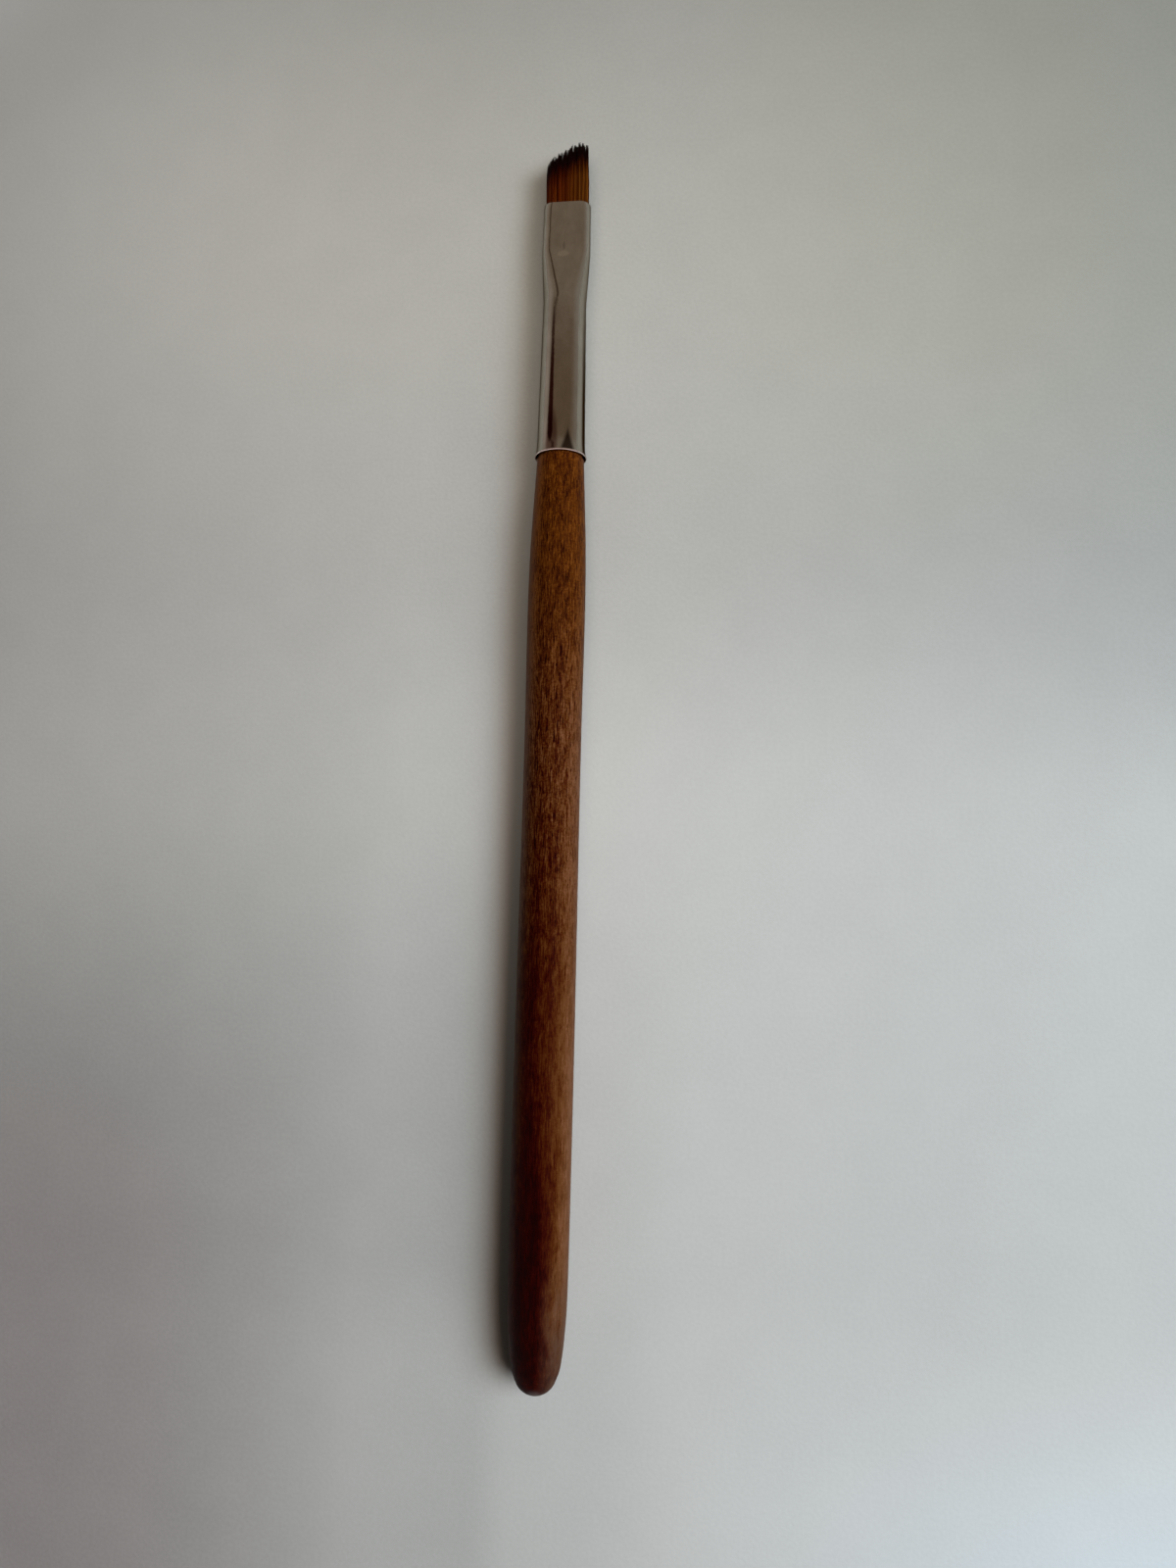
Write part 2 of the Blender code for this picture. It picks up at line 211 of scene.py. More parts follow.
# Tones of the wood, where its plain dark brown is 0 and its pale brown is 1, down to TONE_LOW.
# The heart, the middle and the pale side change by soft steps along the handle. A step is
# (from, to, what it adds before, what it adds after).
TONE_LOW = -0.2
HEART_STEPS = ((26.0, 16.0, 0.47, 0.38), (-2.0, -36.0, 0.0, -0.23), (-42.0, -62.0, 0.0, -0.19))
MIDDLE_TONE = 0.45
MIDDLE_STEPS = ((-6.0, -38.0, 0.0, -0.15), (-50.0, -66.0, 0.0, -0.18))
PALE_STEPS = ((22.0, -6.0, 0.66, 0.82), (-30.0, -56.0, 0.0, 0.11))

# Where each gives way to the next, with steps along the handle; the left flank is lifted by painted light
HEART_EDGE = (-0.80, 0.40)
HEART_EDGE_STEPS = ((-14.0, -26.0, 0.0, 0.15), (-48.0, -68.0, 0.0, 0.60))
PALE_EDGE = (0.9, 3.6)
PALE_EDGE_STEPS = ((6.0, 20.0, 0.0, 0.40), (-72.0, -78.0, 0.0, 0.45))
LIT_FLANK_EDGE = (-1.3, -3.3)
PAINTED_FLANK_LIGHT = (-4.0, -50.0, 0.66, 0.36)
WAVER_REACH = 0.8

# How much each pattern changes the tone; the fine ones are stronger towards the ferrule
BAND_CONTRAST = 0.10
BLOTCH_CONTRAST = 0.20
THREAD_CONTRAST = 0.50
CROSSING_CONTRAST = 0.22
FLECK_DEPTH = 0.30
FLECK_LIFT = 0.02
FINE_STRENGTH = (-44.0, 0.0, 0.68, 1.75)

# Colours of the stain by tone, rosy near the butt and orange near the ferrule
ROSY_STAIN = (
    (TONE_LOW, (0.005, 0.0001, 0.0001)),
    (0.00, (0.012, 0.0004, 0.0003)),
    (0.20, (0.026, 0.0013, 0.0005)),
    (0.40, (0.048, 0.0094, 0.0013)),
    (0.60, (0.074, 0.0230, 0.0050)),
    (0.80, (0.104, 0.0385, 0.0120)),
    (1.00, (0.145, 0.0620, 0.0300)),
)
ORANGE_STAIN = (
    (TONE_LOW, (0.006, 0.0006, 0.0002)),
    (0.00, (0.016, 0.0020, 0.0005)),
    (0.40, (0.048, 0.0115, 0.0014)),
    (0.60, (0.070, 0.0190, 0.0018)),
    (0.75, (0.092, 0.0265, 0.0024)),
    (1.00, (0.140, 0.0480, 0.0080)),
)
ORANGE_ALONG = (-6.0, 26.0)

# At the butt: a greyer brown in blotches on its right side, partly the wood's own colour and partly a
# painted sheen, and a painted glint on the very tip
BUTT_SHEEN_ALONG = (-64.0, -77.0)
BUTT_SHEEN_ACROSS = (0.4, 2.8)
BUTT_SHEEN_BLOTCHES = 0.80
BUTT_SHEEN_LEAST = 0.12
BUTT_SHEEN_COLOUR = (0.070, 0.038, 0.024)
TIP_GLINT_ALONG = (-81.0, -82.0)
TIP_GLINT_MIDDLE = 0.15
TIP_GLINT_REACH = (0.90, 0.35)
TIP_GLINT_STRENGTH = 0.6
TIP_GLINT_COLOUR = (0.110, 0.082, 0.076)

# Ferrule
WALL = 0.25
BARREL_RADIUS = 3.25
WAIST_RADIUS = 2.93
FLARE = 0.15
FLARE_LENGTH = 2.4
BEAD_RADIUS = 0.13
BEAD_RISE = 0.07
BEAD_OVERHANG = 0.12
PRESS_LENGTH = 7.0
FLAT_LENGTH = 7.2
FERRULE_LENGTH = MOUTH_STATION - RIM_STATION
CREASE_START = FERRULE_LENGTH - FLAT_LENGTH
PRESS_START = CREASE_START - PRESS_LENGTH
CREASE_HALF_WIDTH = 3.32
MOUTH_HALF_WIDTH = 3.24
FLAT_HALF_THICKNESS = 1.5
BEND_SOFTNESS = 0.35
BEND_SAMPLES = 4
LIP_CURL = 0.07
LIP_DEPTH = 0.4
QUARTER_POINTS = 22

# Where the ferrule's rings lie: how many in a stretch, or their places in it. Inside, a stretch
# is (from, to, shares of the way).
BEAD_STEPS = 8
FLARE_PLACES = (0.34, 0.5, 0.8, 1.2, 1.7, FLARE_LENGTH)
BARREL_STEPS = 8
BEND_STEPS = 3
STRAIGHT_STEPS = 10
LIP_STEPS = 6
INSIDE_STRETCHES = (
    (CREASE_START, FERRULE_LENGTH, (0.6, 0.3, 0.0)),
    (PRESS_START, CREASE_START, (0.75, 0.5, 0.25, 0.0)),
    (0.0, PRESS_START, (0.6, 0.3, 0.1, 0.03)),
)

# Nickel plate: its patterns, and its colour where it is clear, cloudy and specked
CLOUD_SIZE = (1.8, 4.0, 1.8)
LINE_SIZE = (0.06, 3.0, 0.06)
DUST_SIZE = (0.12, 0.15, 0.12)
SPECK_EDGE = (0.82, 0.97)
SPECK_STRENGTH = 0.30
CLEAR_PLATE = (0.50, 0.465, 0.41)
CLOUDY_PLATE = (0.42, 0.385, 0.33)
SPECK_COLOUR = (0.30, 0.24, 0.18)

# Painted light on the plate: a reddish painted reflection near the rim, painted shade just past the
# crease and a pale painted highlight just before it, dark painted reflections as a wedge at the rim
# and a line down the right flank, and a painted highlight on the rolled rim. A spot is its middle
# and its reach, each across and along, and its strength.
CREASE_Y = RIM_Y + CREASE_START
REDDISH_REFLECTION_SPOT = ((-0.80, RIM_Y + 1.0), (0.86, 5.0), 0.66)
CREASE_SHADE_SPOT = ((-0.10, CREASE_Y + 0.75), (0.18, 0.60), 0.30)
CREASE_HIGHLIGHT_SPOT = ((-0.20, CREASE_Y - 0.45), (0.85, 0.50), 0.35)
SPOT_EDGE = (1.3, 0.3)
WEDGE_MIDDLE = 1.34
WEDGE_HALF_WIDTH = 1.00
WEDGE_NARROWING = 0.30
WEDGE_EDGE = (0.12, -0.42)
WEDGE_STRENGTH = 0.95
FLANK_OUTWARD = (0.89, 0.96)
FLANK_FADING = (44.0, 64.0, 0.90, 0.0)
BEAD_HIGHLIGHT_ALONG = (RIM_Y + 0.12, RIM_Y + 0.02)
# Colours: painted dark reflections and shade, the reddish painted reflection, the painted highlights
PAINTED_DARK_COLOUR = (0.055, 0.036, 0.026)
REDDISH_REFLECTION_COLOUR = (0.130, 0.030, 0.020)
CREASE_HIGHLIGHT_COLOUR = (0.80, 0.74, 0.66)
BEAD_HIGHLIGHT_COLOUR = (0.86, 0.72, 0.68)

# Tuft
HAIR_PITCH = 0.105
HAIR_RADIUS = 0.055
HAIR_TIP_RADIUS = 0.014
HAIR_TAPER_START = 0.70
HAIR_NUDGE = 0.022
HAIR_STRAY = 0.035
HAIR_SWAY = 0.012
SWAY_TURN = 7
SWAY_GROWTH = 4
HAIR_SIDES = 4
HAIR_STEPS = 8
HAIR_SINK = 1.0
HAIR_CLEARANCE = 0.03
BLOCK_DEPTHS = (6.2, 3.0, 0.7)
TIP_NARROWING = 0.02
TIP_LEAN = -0.14
TUFT_SWELL = 0.05
SWELL_PACE = 1.6
TIP_THICKNESS_SHARE = 0.52
TIP_SCATTER = 0.50
CLUMP_SCATTER = 0.68
CLUMP_COUNT = 50
CLUMP_FLATNESS = 0.35
CLUMP_PULL = 0.64
HAIR_SEED = 11

# The slanted cut: share of the tuft's width from its short side, share of its full length
CUT_SHARES = (
    (0.00, 0.665),
    (0.09, 0.760),
    (0.30, 0.850),
    (0.46, 0.925),
    (0.60, 0.960),
    (0.68, 0.992),
    (1.00, 1.000),
)

# The dye, in shares of DYE_REACH from a hair's tip: how much deeper it goes by the clump's shade,
# by the hair's shade and across the tuft, and where it fades from there
DYE_REACH = 5.0
CLUMP_DYE = 0.14
HAIR_DYE = 0.16
DYE_STEPS = ((-0.9, 0.0, 0.03, 0.16), (0.9, 2.2, 0.0, -0.09))
DYE_EDGE = (0.42, 0.12)
FADING_EDGE = (0.92, 0.18)
DYE_COLOUR = (0.0042, 0.0008, 0.0008)

# Shade of a hair, and its brown by shade: red on the tuft's short side and olive on its long side
LEAST_SHADE = 0.005
HAIR_CONTRAST = 0.90
CLUMP_CONTRAST = 0.28
FADING_DEPTH = 0.50
SHORT_SIDE_LIFT = (-1.4, -2.4, 0.0, 0.05)
RED_BROWN = (
    (0.00, (0.012, 0.0008, 0.0003)),
    (0.40, (0.037, 0.0044, 0.0006)),
    (0.75, (0.084, 0.0150, 0.0014)),
    (1.00, (0.170, 0.0470, 0.0055)),
)
OLIVE_BROWN = (
    (0.00, (0.016, 0.0024, 0.0004)),
    (0.40, (0.054, 0.0130, 0.0012)),
    (0.75, (0.108, 0.0340, 0.0034)),
    (1.00, (0.200, 0.0820, 0.0120)),
)
OLIVE_ACROSS = (-1.0, 2.3)

# What each point of a hair is marked with: distance from its tip in shares of DYE_REACH, the
# hair's shade, its clump's shade, and 1. The block behind the mouth has one mark.
BLOCK_MARK = (1.0, 0.35, 0.5, 1.0)

# The tuft's flat map: the margin of a rod's cell, and how its two ends are drawn in the margin
CELL_MARGIN = 0.1
CAP_RADIUS = 0.04
CAP_DISTANCE = 0.06

# Glue
RESIN_CLOUD_SIZE = (1.2, 1.2, 1.2)
BUBBLE_SIZE = (0.2, 0.2, 0.2)
DARK_RESIN = (0.34, 0.16, 0.03)
PALE_RESIN = (0.62, 0.38, 0.12)

BLACK = (0.0, 0.0, 0.0)
WHITE = (1.0, 1.0, 1.0)
SHARP_ANGLE = math.radians(42)

Grain = namedtuple("Grain", "bands waver blotches threads crossing flecks")
Clump = namedtuple("Clump", "across up shade shortness")


def placed(across, station, up):
    """A point of the brush in the frame, in metres."""
    return Vector((across, BUTT_Y + station, AXIS_Z + up)) * MM


def mix(low, high, share):
    return low + (high - low) * share


def arc(turn, steps):
    """Pairs of (1 - cosine, sine) for even steps of a turn, from nothing up to all of it."""
    angles = [turn * step / steps for step in range(steps + 1)]
    return [(1 - math.cos(angle), math.sin(angle)) for angle in angles]


def round_ring(centre, radius, sides, twist=0.0):
    """A ring of points about a centre (across, station, up), square to the brush."""
    across, station, up = centre
    ring = []
    for side in range(sides):
        turn = twist + 2 * math.pi * side / sides
        ring.append(placed(across + radius * math.cos(turn), station, up - radius * math.sin(turn)))
    return ring


def read_table(table, share):
    """Straight-line reading of a table of (share, value) pairs."""
    for (low, low_value), (high, high_value) in zip(table, table[1:]):
        if share <= high:
            return mix(low_value, high_value, max((share - low) / (high - low), 0.0))
    return table[-1][1]


class Shader:
    """Short calls that add nodes to one tree and join them up."""

    def __init__(self, tree):
        self.nodes = tree.nodes
        self.links = tree.links

    def feed(self, socket, value):
        if isinstance(value, bpy.types.NodeSocket):
            self.links.new(value, socket)
        else:
            socket.default_value = value

    def add(self, kind, inputs=None, **settings):
        node = self.nodes.new(kind)
        for name, value in settings.items():
            setattr(node, name, value)
        for name, value in (inputs or {}).items():
            self.feed(node.inputs[name], value)
        return node

    def math(self, operation, *values):
        node = self.add("ShaderNodeMath", operation=operation)
        for socket, value in zip(node.inputs, values):
            self.feed(socket, value)
        return node.outputs[0]

    def folded(self, operation, values):
        """One operation that takes in the values one after another."""
        result = values[0]
        for value in values[1:]:
            result = self.math(operation, result, value)
        return result

    def sum(self, *values):
        return self.folded("ADD", values)

    def product(self, *values):
        return self.folded("MULTIPLY", values)

    def highest(self, *values):
        return self.folded("MAXIMUM", values)

    def scaled(self, value, factor, offset=0.0):
        return self.math("MULTIPLY_ADD", value, factor, offset)

    def centred(self, value, height):
        """A value from 0 to 1 made to vary by the height, half of it each side of 0."""
        return self.scaled(value, height, -height / 2)

    def away(self, value, middle):
        """How far the value is from the middle, either way."""
        return self.math("ABSOLUTE", self.math("SUBTRACT", value, middle))

    def ramp(self, value, low, high, first=0.0, last=1.0, kind="SMOOTHSTEP"):
        """Runs from first to last as the value goes from low to high."""
        inputs = {"Value": value, "From Min": low, "From Max": high, "To Min": first, "To Max": last}
        return self.add("ShaderNodeMapRange", inputs, interpolation_type=kind).outputs["Result"]

    def steps(self, value, table):
        """The sum of the soft steps in a table."""
        return self.sum(*[self.ramp(value, *step) for step in table])

    def mix(self, share, first, last, blend="MIX"):
        """A colour between two colours, or two colours blended."""
        node = self.add("ShaderNodeMix", data_type="RGBA", blend_type=blend)
        for index, value in ((0, share), (6, first), (7, last)):
            if isinstance(value, tuple):
                value = (*value, 1.0)
            self.feed(node.inputs[index], value)
        return node.outputs[2]

    def colours(self, value, stops):
        """A colour read from a ramp of (position, colour) stops."""
        node = self.add("ShaderNodeValToRGB", {"Fac": value})
        elements = node.color_ramp.elements
        while len(elements) < len(stops):
            elements.new(0.5)
        for element, (position, colour) in zip(elements, stops):
            element.position = position
            element.color = (*colour, 1.0)
        return node.outputs["Color"]

    def vector_math(self, operation, *values):
        inputs = dict(enumerate(values))
        return self.add("ShaderNodeVectorMath", inputs, operation=operation)

    def parts(self, vector):
        node = self.add("ShaderNodeSeparateXYZ", {0: vector})
        return node.outputs[0], node.outputs[1], node.outputs[2]

    def locate(self):
        """Keeps where a point is on its piece, in millimetres."""
        metres = self.add("ShaderNodeTexCoord").outputs["Object"]
        node = self.vector_math("SCALE", metres)
        node.inputs["Scale"].default_value = 1 / MM
        self.place = node.outputs[0]
        self.across, self.along, _ = self.parts(self.place)

    def noise(self, size, detail=2.0, roughness=0.5, distortion=0.0, shift=0.0):
        """Noise from 0 to 1 whose blotches measure about size across, along and up, in millimetres."""
        settings = {
            "Location": (shift, shift, shift),
            "Scale": tuple(1 / length for length in size),
            "Vector": self.place,
        }
        fitted = self.add("ShaderNodeMapping", settings).outputs[0]
        inputs = {
            "Vector": fitted,
            "Scale": 1.0,
            "Detail": detail,
            "Roughness": roughness,
            "Distortion": distortion,
        }
        return self.ramp(self.add("ShaderNodeTexNoise", inputs).outputs["Fac"], *NOISE_SPAN)

    def bump(self, height, depth, strength=1.0):
        """A bump whose full height is depth millimetres."""
        inputs = {"Height": height, "Distance": depth * MM, "Strength": strength}
        return self.add("ShaderNodeBump", inputs).outputs["Normal"]

    def set_surface(self, **values):
        """Sets what the material's one Principled shader gets, with _ for a space in a name."""
        surface = self.nodes["Principled BSDF"]
        for name, value in values.items():
            self.feed(surface.inputs[name.replace("_", " ")], value)


def new_material(name):
    """A material, and the calls that dress it."""
    material = bpy.data.materials.new(name)
    material.use_nodes = True
    shader = Shader(material.node_tree)
    shader.locate()
    return material, shader


def wood_grain(shader):
    """The wood's patterns, each from 0 to 1."""
    blotches = shader.noise(BLOTCH_SIZE, detail=5.0, roughness=0.68, shift=9.0)
    fleck_noise = shader.noise(FLECK_SIZE, distortion=0.8, shift=6.0)
    flecks = shader.product(shader.ramp(fleck_noise, *FLECK_EDGE), shader.ramp(blotches, *FLECK_STRENGTH))
    return Grain(
        bands=shader.noise(BAND_SIZE, detail=3.0, shift=4.0),
        waver=shader.noise(WAVER_SIZE, detail=3.0),
        blotches=blotches,
        threads=shader.noise(THREAD_SIZE, detail=4.0, roughness=0.6, distortion=0.6, shift=2.0),
        crossing=shader.noise(CROSSING_SIZE, detail=3.0, roughness=0.6, distortion=0.8, shift=17.0),
        flecks=flecks,
    )


def wood_tone(shader, grain):
    """The tone at each place: heart, middle, pale side, and painted light on the left flank, with the
    grain in them.
    """
    along = shader.along
    shifted = shader.sum(shader.across, shader.centred(grain.waver, WAVER_REACH))
    heart = shader.steps(along, HEART_STEPS)
    middle = shader.sum(MIDDLE_TONE, shader.steps(along, MIDDLE_STEPS))
    pale = shader.steps(along, PALE_STEPS)
    past_heart = shader.math("SUBTRACT", shifted, shader.steps(along, HEART_EDGE_STEPS))
    to_middle = shader.ramp(past_heart, *HEART_EDGE)
    past_middle = shader.math("SUBTRACT", shifted, shader.steps(along, PALE_EDGE_STEPS))
    to_pale = shader.ramp(past_middle, *PALE_EDGE)
    fine = shader.sum(
        shader.centred(grain.threads, THREAD_CONTRAST),
        shader.centred(grain.crossing, CROSSING_CONTRAST),
        shader.scaled(grain.flecks, -FLECK_DEPTH, FLECK_LIFT),
    )
    return shader.sum(
        heart,
        shader.product(to_middle, shader.math("SUBTRACT", middle, heart)),
        shader.product(to_pale, shader.math("SUBTRACT", pale, middle)),
        # Painted light on the left flank, stronger towards the ferrule
        shader.product(shader.ramp(shifted, *LIT_FLANK_EDGE), shader.ramp(along, *PAINTED_FLANK_LIGHT)),
        shader.centred(grain.bands, BAND_CONTRAST),
        shader.centred(grain.blotches, BLOTCH_CONTRAST),
        shader.product(fine, shader.ramp(along, *FINE_STRENGTH)),
    )


def stain_colour(shader, tone, stops):
    """The stain's colour for each tone, from TONE_LOW up to 1."""
    run = 1.0 - TONE_LOW
    fitted = [((stop - TONE_LOW) / run, colour) for stop, colour in stops]
    return shader.colours(shader.scaled(tone, 1 / run, -TONE_LOW / run), fitted)


def wood_with_painted_sheen(shader, blotches, colour):
    """The wood's colour with the greyer brown and painted sheen on the butt's right side, and the painted
    glint on its tip.
    """
    # Painted sheen, partly the wood's own greyer brown, in blotches on the butt's right side
    butt_sheen = shader.product(
        shader.ramp(shader.along, *BUTT_SHEEN_ALONG),
        shader.ramp(shader.across, *BUTT_SHEEN_ACROSS),
        shader.scaled(blotches, BUTT_SHEEN_BLOTCHES, BUTT_SHEEN_LEAST),
    )
    # A painted glint on the very tip of the butt
    tip = shader.product(
        shader.ramp(shader.along, *TIP_GLINT_ALONG),
        shader.ramp(shader.away(shader.across, TIP_GLINT_MIDDLE), *TIP_GLINT_REACH),
        TIP_GLINT_STRENGTH,
    )
    colour = shader.mix(butt_sheen, colour, BUTT_SHEEN_COLOUR)
    return shader.mix(tip, colour, TIP_GLINT_COLOUR)


def wood_material():
    """Stained wood under a thin satin finish.

    A mottled brown grows paler towards one side. On the other side a maroon
    heart grows darker and wider towards the butt.
    """
    material, shader = new_material("lacquered_wood")
    grain = wood_grain(shader)
    tone = wood_tone(shader, grain)
    rosy = stain_colour(shader, tone, ROSY_STAIN)
    orange = stain_colour(shader, tone, ORANGE_STAIN)
    colour = shader.mix(shader.ramp(shader.along, *ORANGE_ALONG), rosy, orange)
    gloss = shader.noise(GLOSS_SIZE, detail=3.0, shift=13.0)
    relief = shader.sum(shader.scaled(grain.threads, 0.6), shader.scaled(grain.flecks, -0.5))
    shader.set_surface(
        Base_Color=wood_with_painted_sheen(shader, grain.blotches, colour),
        Roughness=shader.scaled(gloss, 0.12, 0.36),
        Specular_IOR_Level=0.04,
        Specular_Tint=(1.0, 0.85, 0.72, 1.0),
        Normal=shader.bump(relief, 0.006),
    )
    return material


def plate_spot(shader, spot):
    """A soft spot on the plate, from its middle, its reach and its strength."""
    middle, reach, strength = spot
    ways = []
    for value, centre, half in zip((shader.across, shader.along), middle, reach):
        ways.append(shader.math("POWER", shader.scaled(value, 1 / half, -centre / half), 2.0))
    return shader.scaled(shader.ramp(shader.sum(*ways), *SPOT_EDGE), strength)


def wedge_dark_reflection(shader):
    """A dark painted reflection at the rim, shaped as a wedge that narrows up the barrel."""
    half_width = shader.scaled(shader.along, -WEDGE_NARROWING, WEDGE_HALF_WIDTH + WEDGE_NARROWING * RIM_Y)
    past_edge = shader.math("SUBTRACT", shader.away(shader.across, WEDGE_MIDDLE), half_width)
    return shader.scaled(shader.ramp(past_edge, *WEDGE_EDGE), WEDGE_STRENGTH)


def flank_dark_reflection(shader):
    """A dark painted reflection down the right flank, which fades towards the mouth."""
    outward, _, _ = shader.parts(shader.add("ShaderNodeNewGeometry").outputs["Normal"])
    return shader.product(shader.ramp(outward, *FLANK_OUTWARD), shader.ramp(shader.along, *FLANK_FADING))


def plate_with_painted_light(shader, crease_highlight, colour):
    """The plate's colour with painted dark reflections and shade, a reddish painted reflection, and
    painted highlights by the crease and on the rim.
    """
    # Painted dark reflections and shade, a reddish painted reflection, and painted highlights by the
    # crease and on the rim
    painted_dark = shader.highest(wedge_dark_reflection(shader), plate_spot(shader, CREASE_SHADE_SPOT), flank_dark_reflection(shader))
    colour = shader.mix(painted_dark, colour, PAINTED_DARK_COLOUR)
    colour = shader.mix(plate_spot(shader, REDDISH_REFLECTION_SPOT), colour, REDDISH_REFLECTION_COLOUR)
    colour = shader.mix(crease_highlight, colour, CREASE_HIGHLIGHT_COLOUR)
    return shader.mix(shader.ramp(shader.along, *BEAD_HIGHLIGHT_ALONG), colour, BEAD_HIGHLIGHT_COLOUR)


def nickel_material():
    """Polished nickel plate, with faint drawing lines, dull patches, small specks, and painted
    reflections, shade and highlights.
    """
    material, shader = new_material("nickel_plate")
    cloud = shader.noise(CLOUD_SIZE, detail=4.0, roughness=0.6)
    lines = shader.noise(LINE_SIZE, shift=5.0)
    dust = shader.noise(DUST_SIZE, shift=8.0)
    specks = shader.ramp(dust, *SPECK_EDGE)
    # A pale painted highlight just before the crease, where the plate is also rougher
    crease_highlight = plate_spot(shader, CREASE_HIGHLIGHT_SPOT)
    colour = shader.mix(cloud, CLEAR_PLATE, CLOUDY_PLATE)
    colour = shader.mix(shader.scaled(specks, SPECK_STRENGTH), colour, SPECK_COLOUR)
    roughness = shader.sum(
        0.045,
        shader.scaled(cloud, 0.035),
        shader.scaled(specks, 0.10),
        shader.scaled(crease_highlight, 0.20),
    )
    height = shader.sum(shader.scaled(lines, 0.06), cloud, shader.scaled(dust, 0.05))
    shader.set_surface(
        Base_Color=plate_with_painted_light(shader, crease_highlight, colour),
        Metallic=1.0,
        Specular_Tint=(0.30, 0.28, 0.26, 1.0),
        Roughness=roughness,
        Normal=shader.bump(height, 0.006),
    )
    return material


def bristle_material():
    """Brown filaments whose tips darken through a deep red brown to near black."""
    material, shader = new_material("two_tone_bristle")
    marks = shader.add("ShaderNodeAttribute", attribute_name="hair").outputs["Color"]
    from_tip, hair_shade, clump_shade = shader.parts(marks)
    dye_depth = shader.sum(
        shader.scaled(clump_shade, CLUMP_DYE),
        shader.scaled(hair_shade, HAIR_DYE),
        shader.steps(shader.across, DYE_STEPS),
    )
    from_dye = shader.math("SUBTRACT", from_tip, dye_depth)
    shade = shader.sum(
        LEAST_SHADE,
        shader.scaled(hair_shade, HAIR_CONTRAST),
        shader.scaled(clump_shade, CLUMP_CONTRAST),
        shader.scaled(shader.ramp(from_dye, *FADING_EDGE), -FADING_DEPTH),
        shader.ramp(shader.across, *SHORT_SIDE_LIFT),
    )
    red_brown = shader.colours(shade, RED_BROWN)
    olive_brown = shader.colours(shade, OLIVE_BROWN)
    brown = shader.mix(shader.ramp(shader.across, *OLIVE_ACROSS), red_brown, olive_brown)
    shader.set_surface(
        Base_Color=shader.mix(shader.ramp(from_dye, *DYE_EDGE), brown, DYE_COLOUR),
        Roughness=shader.scaled(hair_shade, 0.20, 0.40),
        Specular_IOR_Level=0.06,
        Specular_Tint=(1.0, 0.70, 0.50, 1.0),
    )
    return material


def glue_material():
    """Set amber resin with small bubbles; it is out of sight inside the ferrule."""
    material, shader = new_material("set_resin")
    cloud = shader.noise(RESIN_CLOUD_SIZE, detail=4.0)
    bubbles = shader.noise(BUBBLE_SIZE, detail=1.0, shift=3.0)
    shader.set_surface(
        Base_Color=shader.mix(cloud, DARK_RESIN, PALE_RESIN),
        Roughness=shader.scaled(cloud, 0.20, 0.22),
        Normal=shader.bump(shader.ramp(bubbles, 0.6, 0.7), 0.03),
    )
    return material


def patch_share(shader, across_edge, along_edge):
    """How much of a soft patch of the paper is at each place."""
    return shader.product(shader.ramp(shader.across, *across_edge), shader.ramp(shader.along, *along_edge))


def paper_tone_with_painted_light(shader):
    """How pale the paper is, with painted light and shadow: its one step along the brush and its patches.
    """
    lifts = []
    # Painted light and shadow on the paper, one patch after another
    for across_edge, along_edge, lift in PAPER_LIGHT_AND_SHADOW_PATCHES:
        lifts.append(shader.scaled(patch_share(shader, across_edge, along_edge), lift))
    return shader.sum(PAPER_TONE, shader.ramp(shader.along, *PAPER_LIGHT_STEP), *lifts)


def paper_and_light_tint(shader):
    """The paper's tint, from its lower part to its upper part, with the light's colour painted into its
    corners.
    """
    tint = shader.mix(shader.ramp(shader.along, *UPPER_TINT_ALONG), LOWER_TINT, UPPER_TINT)
    # The light's colour, painted into three corners
    for across_edge, along_edge, corner_tint in CORNER_LIGHT_TINTS:
        tint = shader.mix(patch_share(shader, across_edge, along_edge), tint, corner_tint)
    return tint


def floor_material():
    """Pale grey paper with a faint tooth and painted light and shadow; far from the brush it runs into the
    plain background.
    """
    material, shader = new_material("pale_paper")
    mottle = shader.noise(MOTTLE_SIZE, detail=5.0, roughness=0.6)
    tooth = shader.noise(TOOTH_SIZE, detail=3.0, shift=7.0)
    tone = shader.sum(
        paper_tone_with_painted_light(shader),
        shader.scaled(mottle, MOTTLE_LIFT),
        shader.scaled(tooth, TOOTH_LIFT),
    )
    grey = shader.colours(tone, ((0.0, BLACK), (1.0, WHITE)))
    paper = shader.mix(1.0, grey, paper_and_light_tint(shader), blend="MULTIPLY")
    from_middle = shader.vector_math("LENGTH", shader.place).outputs["Value"]
    far = shader.ramp(from_middle, BACKDROP_START, BACKDROP_STOP)
    rays = shader.add("ShaderNodeLightPath").outputs
    seen = shader.highest(rays["Is Camera Ray"], rays["Is Glossy Ray"], rays["Is Transmission Ray"])
    shader.set_surface(
        Base_Color=shader.mix(far, paper, BLACK),
        Roughness=0.85,
        Specular_IOR_Level=shader.scaled(far, -0.2, 0.2),
        Emission_Color=(*BACKDROP, 1.0),
        Emission_Strength=shader.product(far, seen),
        Normal=shader.bump(tooth, 0.02, 0.5),
    )
    return material


def add_object(name, data):
    """A new object in the scene."""
    added = bpy.data.objects.new(name, data)
    bpy.context.scene.collection.objects.link(added)
    return added


def add_piece(name, points, faces, material):
    """A new mesh of one material in the scene."""
    mesh = bpy.data.meshes.new(name)
    mesh.from_pydata(points, [], faces)
    mesh.materials.append(material)
    return add_object(name, mesh)


